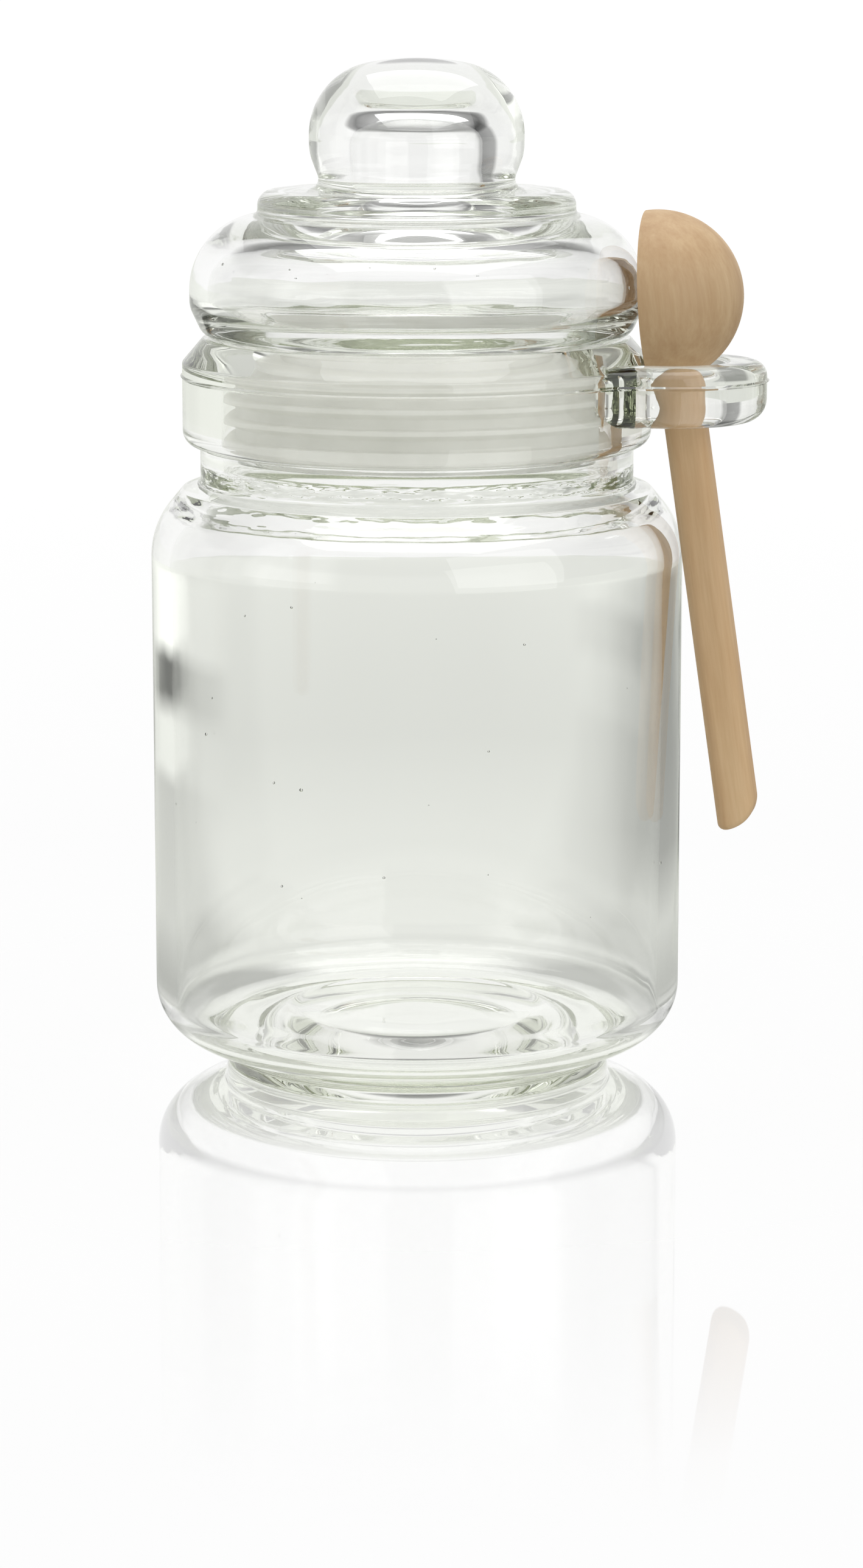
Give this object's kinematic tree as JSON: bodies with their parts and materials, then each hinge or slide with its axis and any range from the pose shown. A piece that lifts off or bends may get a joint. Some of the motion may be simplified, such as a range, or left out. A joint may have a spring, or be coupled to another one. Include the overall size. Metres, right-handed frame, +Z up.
{
  "type": "apothecary jar",
  "caption": "Clear pressed glass storage jar with a knobbed glass lid, a ribbed seal and a wooden scoop spoon hung in a loop on the collar.",
  "frame": {"origin": "centre of the foot's bearing ring, on the surface that the jar stands on", "axes": "+Z up along the jar's axis, +X from the axis towards the spoon loop"},
  "size_m": [0.0905, 0.0782, 0.1489],
  "materials": {
    "clear_glass": "pressed, fire polished",
    "lid_glass": "blown in a mould, fire polished",
    "milky_seal": "matt, translucent",
    "turned_wood": "sanded, unfinished"
  },
  "bodies": {
    "jar": {"jar_body": "clear_glass"},
    "seal": {"lid_seal": "milky_seal"},
    "lid": {"lid": "lid_glass"},
    "spoon": {"spoon": "turned_wood"}
  },
  "joints": [
    {"name": "lid_lift", "type": "slide", "parent": "jar", "child": "seal", "axis": [0, 0, 1], "range_m": [0, 0.11]},
    {"name": "lid_turn", "type": "hinge", "parent": "seal", "child": "lid", "pos_m": [0, 0, 0.1], "axis": [0, 0, 1], "continuous": true},
    {"name": "spoon_lift", "type": "slide", "parent": "jar", "child": "spoon", "axis": [-0.1045, 0, 0.9945], "range_m": [0, 0.072]}
  ]
}
